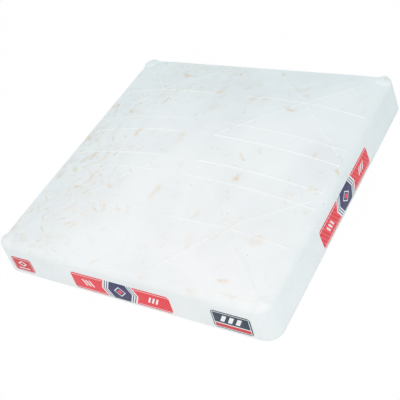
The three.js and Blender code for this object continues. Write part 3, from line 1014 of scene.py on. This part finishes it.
def dress(slot, recipe, *settings):
    """Gives a finish to every piece of one slot. The recipe tells the shader's inputs at a place."""
    material, shader = new_finish(slot)
    tree = material.node_tree
    place = put(tree, "TexCoord").outputs["Object"]
    for name, value in recipe(place, *settings).items():
        feed(shader.inputs[name], value)
    for piece in pieces_of[slot]:
        piece.data.materials.clear()
        piece.data.materials.append(material)
    print(slot, "on", len(pieces_of[slot]), "pieces,", len(tree.nodes), "nodes")


print("slots that wait for a finish:", sorted(pieces_of))

# %% [markdown]
# ## White rubber with infield clay
# The rubber is a cool white with a dull shine and a fine grain from the mould. The crests of the ridges
# carry a painted highlight, stronger at the back. Play has left soft smudges of pale orange clay, close
# together along the left side, fewer in front and rare elsewhere. An image of smudges would be the usual
# way.
# Without images, a Voronoi texture does it: each of its cells gives a centre and random numbers. The
# place relative to that centre, turned by a random angle and masked to be long in one direction and
# short in the other, makes one smudge in a cell. Three layers give three sizes of smudge.

# %% Clay smudges
SWAY_SCALE = 34.0
SWAY = (0.030, 0.030, 0.0)
WEAR_SCALE = 210.0
LEFT_BAND = (0.02, -0.22)
FRONT_BAND = (-0.12, -0.30)
CLAY_LEFT = 0.76
CLAY_FRONT = 0.22
CLAY_ELSEWHERE = 0.14


def clay_smudges(place, wanted, seed, cell, length, width):
    """A mask of soft smudges, one in each cell, kept in as many cells as wanted says."""
    shifted = vector_calc("ADD", place, seed)
    sway = put(place.id_data, "TexNoise", {"Vector": shifted, "Scale": SWAY_SCALE, "Detail": 1.5})
    swayed = vector_calc("MULTIPLY_ADD", sway.outputs["Color"], SWAY, shifted)
    cells, chances = voronoi(swayed, 1 / cell, voronoi_dimensions="2D")
    from_centre = vector_calc("SUBTRACT", swayed, cells["Position"])
    turn = {"Vector": from_centre, "Angle": times(chances[0], FULL_TURN)}
    turned = put(place.id_data, "VectorRotate", turn, rotation_type="Z_AXIS").outputs[0]
    along, aside, _ = split(turned)
    long_enough = mask(absolute(along), length / 2, length / 8)
    thin_enough = mask(absolute(aside), width / 2, 0.0)
    worn = mask(noise(swayed, WEAR_SCALE), 0.28, 0.62)
    kept = mask(calc("SUBTRACT", wanted, chances[1]), -0.02, 0.10)
    strength = scaled(calc("POWER", chances[2], 3.0), 0.80, 0.20)
    return times(long_enough, thin_enough, worn, kept, strength)


def clay_wanted(place):
    """How much of the top carries clay: most along the left side, some in front, little elsewhere."""
    x, y, _ = split(place)
    left = mask(scaled(y, -0.25, x), *LEFT_BAND)
    front = mask(scaled(x, 0.5, y), *FRONT_BAND)
    patchy = mask(noise(place, 11.0, 2.0), 0.35, 0.65)
    some = scaled(front, CLAY_FRONT, scaled(left, CLAY_LEFT, CLAY_ELSEWHERE))
    return times(some, calc("ADD", patchy, 0.4))


print("clay wanted on the left, before patches:", round(CLAY_LEFT + CLAY_ELSEWHERE, 2))

# %% Crests of the ridges
# The crests of the ridges get a painted highlight, stronger at the back than in front.
RIDGE_FOOT = 0.1 * RIDGE_HEIGHT
RIDGE_CREST = 0.8 * RIDGE_HEIGHT
EAR_STARTS = 1.4 * RIDGE_HEIGHT
EAR_CLEAR = 2.0 * RIDGE_HEIGHT
BACK_BAND = (-0.16, 0.02)
HIGHLIGHT_BACK = 0.60
HIGHLIGHT_FRONT = 0.20


def painted_crest_highlight(place):
    """Share of painted highlight on the ridge crests, stronger at the back.
    A place is on a ridge if it lies a little above the bare crown.
    """
    x, y, z = split(place)
    across, deep = absolute(x), absolute(y)
    blend = largest(calc("SUBTRACT", HIP_WIDTH, absolute(calc("SUBTRACT", across, deep))), 0.0)
    blend = calc("DIVIDE", times(blend, blend), 4 * HIP_WIDTH)
    out = calc("DIVIDE", calc("ADD", largest(across, deep), blend), TOP_HALF)
    bare = scaled(times(out, out), -CROWN_HEIGHT, CROWN_HEIGHT)
    rise = calc("SUBTRACT", calc("SUBTRACT", z, EDGE_HEIGHT), bare)
    ridge = times(mask(rise, RIDGE_FOOT, RIDGE_CREST), mask(rise, EAR_CLEAR, EAR_STARTS))
    return times(ridge, scaled(mask(y, *BACK_BAND), HIGHLIGHT_BACK, HIGHLIGHT_FRONT))


# Over this rise the crest is drawn whiter, as a painted highlight.
print("a ridge is rubbed white from", round(RIDGE_FOOT, 5), "to", round(RIDGE_CREST, 5), "of rise")

# %% The rubber finish
RUBBER_WHITE = colour(241, 242, 243)
RUBBER_GREY = colour(234, 236, 238)
CREST_HIGHLIGHT = colour(248, 249, 250)
CLAY = colour(225, 193, 145)
DARK_SPECK = colour(120, 104, 92)
# Seed, size of a cell, and length and width of a smudge for each layer of clay
SMUDGE_LAYERS = (
    ((3.1, 1.7, 0.0), 36 * MM, 42 * MM, 19 * MM),
    ((7.3, 5.9, 0.0), 19 * MM, 26 * MM, 11 * MM),
    ((2.9, 8.3, 0.0), 12 * MM, 21 * MM, 5 * MM),
)
SMUDGE_SHARE = 0.68
FILM_SHARE = 0.16
SPECK_SCALE = 95.0
SPECK_CHANCE = 0.95
SPECK_SHARE = 0.5
GRAIN_SCALE = 900.0
GRAIN_DEPTH = 0.12 * MM


def clay_share(place):
    """Smudges on the faces that look up, and a thin film of clay."""
    wanted = clay_wanted(place)
    smudges = largest(*[clay_smudges(place, wanted, *layer) for layer in SMUDGE_LAYERS])
    upward = split(put(place.id_data, "NewGeometry").outputs["Normal"])[2]
    smudges = times(smudges, mask(upward, 0.3, 0.8), SMUDGE_SHARE)
    film = times(patches(place, 34.0, 0.50, 0.80), wanted, FILM_SHARE)
    return largest(smudges, film)


def dark_specks(place):
    cells, chances = voronoi(place, SPECK_SCALE)
    dot = mask(cells["Distance"], 0.10, 0.05)
    return times(dot, calc("GREATER_THAN", chances[0], SPECK_CHANCE), SPECK_SHARE)


def rubber(place):
    tone = mixed(mask(noise(place, 9.0), 0.35, 0.7), RUBBER_WHITE, RUBBER_GREY)
    # Painted highlight: the crests of the ridges are drawn whiter.
    tone = mixed(painted_crest_highlight(place), tone, CREST_HIGHLIGHT)
    clay = clay_share(place)
    tone = mixed(clay, tone, CLAY)
    grain = calc("ADD", noise(place, GRAIN_SCALE, 2.0), clay)
    return {
        "Base Color": mixed(dark_specks(place), tone, DARK_SPECK),
        "Roughness": scaled(clay, 0.4, scaled(noise(place, 60.0), 0.16, 0.46)),
        "Normal": bump(grain, GRAIN_DEPTH, 0.5),
    }


dress("white_rubber", rubber)

# %% [markdown]
# ## Printed vinyl
# A print is made of flat areas of ink with sharp borders, and a picture would be the usual way to bring
# it in. Here each area is a range of some distance from the middle of the label, in millimetres, so it
# stays sharp at any size. The inks are laid over each other as in a screen print, and dust lies on top.

# %% Inks, areas and wear
RED_INK = colour(252, 58, 74)
DEEP_RED = colour(212, 38, 50)
NAVY_INK = colour(22, 22, 90)
SLATE_INK = colour(12, 44, 70)
WHITE_INK = colour(240, 242, 244)
DUST = colour(224, 206, 190)
DUST_SHARE = 0.14
INK_EDGE = 0.2
LABEL_MIDDLE = 19.7
BAR_LEAN = -0.5
VINYL_SCALE = 420.0
VINYL_DEPTH = 0.03 * MM


def beyond(value, limit):
    return mask(value, limit - INK_EDGE, limit + INK_EDGE)


def within(value, limit):
    return mask(value, limit + INK_EDGE, limit - INK_EDGE)


def area(value, low, high):
    return times(beyond(value, low), within(value, high))


def print_over(under, ink, *areas):
    """Prints one ink over what is there, where all these areas overlap."""
    return mixed(times(*areas), under, ink)


def slanted_bars(along, up, first, gap, width):
    """Three bars that lean to the right."""
    leaning = scaled(up, BAR_LEAN, along)
    starts = [first + step * gap for step in range(3)]
    return largest(*[area(leaning, start, start + width) for start in starts])


def past_edge(along, up, half_width, half_height):
    """How far a place is outside the rectangle of the label. It is negative inside."""
    sideways = calc("SUBTRACT", absolute(along), half_width)
    return largest(sideways, calc("SUBTRACT", absolute(up), half_height))


def vinyl(place, design):
    """The design gives the ink at a place along and up the label, in millimetres."""
    x, _, z = split(place)
    ink = design(times(x, 1 / MM), scaled(z, 1 / MM, -LABEL_MIDDLE))
    dust = patches(place, 48.0, 0.46, 0.80)
    return {
        "Base Color": mixed(times(dust, DUST_SHARE), ink, DUST),
        "Roughness": scaled(dust, 0.3, 0.36),
        "Normal": bump(noise(place, VINYL_SCALE, 2.0), VINYL_DEPTH, 0.6),
    }


print("the border of an ink is", 2 * INK_EDGE, "mm wide")

# %% The small label
SMALL_HALF = (19.25, 13.25)
SMALL_BORDER = (-2.4, -1.6)
SMALL_DIAMOND = (3.4, 5.4)
DIAMOND_RISE = 2.5
DIAMOND_LEAN = 0.6
SMALL_BAR_HALF = 11.0
SMALL_BAR = (-7.6, -5.8)


def small_design(along, up):
    """Red with a white border line, a diamond and a short bar."""
    aside, off = absolute(along), absolute(calc("SUBTRACT", up, DIAMOND_RISE))
    ink = print_over(DEEP_RED, WHITE_INK, area(past_edge(along, up, *SMALL_HALF), *SMALL_BORDER))
    ink = print_over(ink, WHITE_INK, area(scaled(aside, DIAMOND_LEAN, off), *SMALL_DIAMOND))
    return print_over(ink, WHITE_INK, within(aside, SMALL_BAR_HALF), area(up, *SMALL_BAR))


dress("red_label", vinyl, small_design)

# %% The long strips
LOZENGE_LEAN = 0.45
LOZENGE_WHITE = 31.0
LOZENGE_NAVY = ((-1.0, 20.5), (22.6, 24.2), (26.6, 28.2))
RED_STARTS = 33.0
STRIPE_LEAN = 0.6
STRIPE_GAP = 6.4
STRIPE = (0.5, 3.7)
STRIPES_ASIDE = 50
EDGE_LINE = (12.4, 13.2)
STRIP_BARS = (48.0, 6.0, 3.0)
STRIP_BAR_HALF = 5.5
HEART_LEAN = 0.9
HEART_RING = (7.4, 9.2)
HEART = 4.2


def strip_design(along, up):
    """Red ends with stripes and three bars, and a navy lozenge between white lines."""
    aside, off = absolute(along), absolute(up)
    lozenge, heart = scaled(off, LOZENGE_LEAN, aside), scaled(aside, HEART_LEAN, off)
    slant = calc("ADD", scaled(up, STRIPE_LEAN, along), STRIPES_ASIDE * STRIPE_GAP)
    ends = beyond(lozenge, RED_STARTS)
    ink = print_over(RED_INK, DEEP_RED, area(calc("MODULO", slant, STRIPE_GAP), *STRIPE), ends)
    ink = print_over(ink, WHITE_INK, area(off, *EDGE_LINE), ends)
    ink = print_over(ink, WHITE_INK, slanted_bars(aside, up, *STRIP_BARS), within(off, STRIP_BAR_HALF))
    ink = print_over(ink, WHITE_INK, within(lozenge, LOZENGE_WHITE))
    for first, last in LOZENGE_NAVY:
        ink = print_over(ink, NAVY_INK, area(lozenge, first, last))
    ink = print_over(ink, WHITE_INK, area(heart, *HEART_RING))
    return print_over(ink, RED_INK, within(heart, HEART))


dress("strip_label", vinyl, strip_design)

# %% The patch
PATCH_HALF = (28.0, 15.3)
PATCH_BORDER = (-2.5, -1.5)
PATCH_FIELD = -2.6
BAND_TOP = -6.6
BAND_LINE = (-6.6, -5.0)
PATCH_BARS = (-16.0, 11.0, 6.0)
PATCH_BAR_SPAN = (-2.0, 9.5)


def patch_design(along, up):
    """Dark slate over a red band, with a white border line and three bars."""
    edge = past_edge(along, up, *PATCH_HALF)
    field = within(edge, PATCH_FIELD)
    ink = print_over(SLATE_INK, DEEP_RED, within(up, BAND_TOP), field)
    ink = print_over(ink, WHITE_INK, area(up, *BAND_LINE), field)
    ink = print_over(ink, WHITE_INK, slanted_bars(along, up, *PATCH_BARS), area(up, *PATCH_BAR_SPAN))
    return print_over(ink, WHITE_INK, area(edge, *PATCH_BORDER))


dress("navy_label", vinyl, patch_design)

# %% [markdown]
# ## Foam, galvanised steel and zinc plate
# Closed-cell foam is a dark grey with pores of about a millimetre. Steel that has been dipped in zinc
# shows flat crystals of about a centimetre, each with its own shade and gloss. A plain noise has no such
# borders, but the cells of a Voronoi texture do. Screws and bolts are plated, which is finer and
# brighter. Clay dust from the field settles on the metal in patches.

# %% The foam finish
FOAM_DARK = colour(72, 76, 80)
FOAM_LIGHT = colour(104, 108, 112)
FOAM_ROUGHNESS = 0.95
PORE_SCALE = 700.0
PORE_DEPTH = 0.5 * MM


def closed_cells(place):
    pores = voronoi(place, PORE_SCALE)[0]["Distance"]
    # Painted shade: the pores are drawn darker where the bump sinks them, over a random tone.
    tone = scaled(pores, 0.5, times(noise(place, 26.0, 4.0), 0.6))
    return {
        "Base Color": mixed(tone, FOAM_DARK, FOAM_LIGHT),
        "Roughness": FOAM_ROUGHNESS,
        "Normal": bump(pores, PORE_DEPTH, 0.7),
    }


dress("grey_foam", closed_cells)

# %% The metal finishes
CLAY_DUST = colour(176, 128, 92)
METAL_SCALE = 380.0
METAL_DEPTH = 0.05 * MM
# Size of a crystal, dark and light shade, roughness and share of dust
GALVANISED = (9 * MM, colour(148, 154, 158), colour(200, 205, 208), 0.34, 0.45)
PLATED = (1.5 * MM, colour(176, 180, 184), colour(222, 225, 228), 0.22, 0.25)


def zinc(place, crystal, dark, light, roughness, dust_share):
    _, chances = voronoi(place, 1 / crystal)
    tone = scaled(chances[0], 0.6, times(noise(place, 40.0, 4.0), 0.4))
    dust = times(patches(place, 70.0, 0.48, 0.78), dust_share)
    return {
        "Base Color": mixed(dust, mixed(tone, dark, light), CLAY_DUST),
        "Metallic": scaled(dust, -0.9, 0.95),
        "Roughness": scaled(dust, 0.5, scaled(chances[1], 0.16, roughness)),
        "Normal": bump(noise(place, METAL_SCALE, 3.0), METAL_DEPTH, 0.6),
    }


dress("galvanised_steel", zinc, *GALVANISED)
dress("zinc_plate", zinc, *PLATED)

# %% [markdown]
# ## The floor and the light
# A white base on a white ground shows its shape only by small differences of tone, and one strong lamp
# would burn out the top. So a cool sky lights everything evenly, a warm soft box close above the near
# edge makes the front of the top a little lighter and warmer than the back, and two weak fills do the
# same for the right side and the front. The floor takes the object's shadow, and is drawn mostly as plain
# white where the camera looks at it, so that it looks like paper without more light on the base.

# %% Lay the floor
WHITE = (1.0, 1.0, 1.0, 1.0)
FLOOR_HALF = 4.0
FLOOR_LEVEL = -0.2 * MM
FLOOR_GREY = colour(244, 245, 246)
FLOOR_ROUGHNESS = 0.9
PAPER_SHARE = 0.98


def seen_directly(tree):
    """1 where the camera looks, also by way of a mirror or glass."""
    rays = put(tree, "LightPath").outputs
    return largest(rays["Is Glossy Ray"], rays["Is Transmission Ray"], rays["Is Camera Ray"])


def floor_finish():
    material, shader = new_finish("paper_floor")
    tree = material.node_tree
    shader.inputs["Roughness"].default_value = FLOOR_ROUGHNESS
    shader.inputs["Base Color"].default_value = FLOOR_GREY
    paper = put(tree, "Emission", {"Color": WHITE, "Strength": 1.0}).outputs[0]
    share = times(seen_directly(tree), PAPER_SHARE)
    both = put(tree, "MixShader", {0: share, 1: shader.outputs[0], 2: paper}).outputs[0]
    feed(tree.nodes["Material Output"].inputs["Surface"], both)
    return material


corners = [(-1, -1), (1, -1), (1, 1), (-1, 1)]
floor_points = [(x * FLOOR_HALF, y * FLOOR_HALF, FLOOR_LEVEL) for x, y in corners]
floor = new_piece("floor", floor_points, [(0, 1, 2, 3)])
floor.data.materials.append(floor_finish())
print("floor at", FLOOR_LEVEL)

# %% Light the base
SKY_STRENGTH = 0.86
SKY_TINT = (0.850, 0.981, 1.0, 1.0)
LAMP_AIM = Vector((0.05, -0.05, 0.03))
# Place, size, power in watts and colour of each soft box
LAMPS = {
    "key_box": ((0.09, -0.24, 0.55), 0.4, 0.62, (1.0, 0.606, 0.55)),
    "right_fill": ((0.80, -0.45, 0.42), 0.6, 0.95, (1.0, 0.84, 0.74)),
    "front_fill": ((-0.25, -1.10, 0.45), 0.8, 0.90, (1.0, 0.74, 0.66)),
}


def add_lamp(name, place, size, watts, tint):
    """A square soft box that points at the base."""
    light = bpy.data.lights.new(name, "AREA")
    light.size = size
    light.energy = watts
    light.color = tint
    lamp = bpy.data.objects.new(name, light)
    lamp.location = place
    lamp.rotation_euler = (LAMP_AIM - Vector(place)).to_track_quat("-Z", "Y").to_euler()
    scene.collection.objects.link(lamp)


sky = bpy.data.worlds.new("studio_sky")
sky.use_nodes = True
background = sky.node_tree.nodes["Background"]
paper_white = seen_directly(sky.node_tree)
feed(background.inputs["Strength"], scaled(paper_white, 1 - SKY_STRENGTH, SKY_STRENGTH))
feed(background.inputs["Color"], mixed(paper_white, SKY_TINT, WHITE))
scene.world = sky
for name, settings in LAMPS.items():
    add_lamp(name, *settings)
scene.view_settings.view_transform = "Standard"
print("lamps:", len(bpy.data.lights), "and a sky of", SKY_STRENGTH)
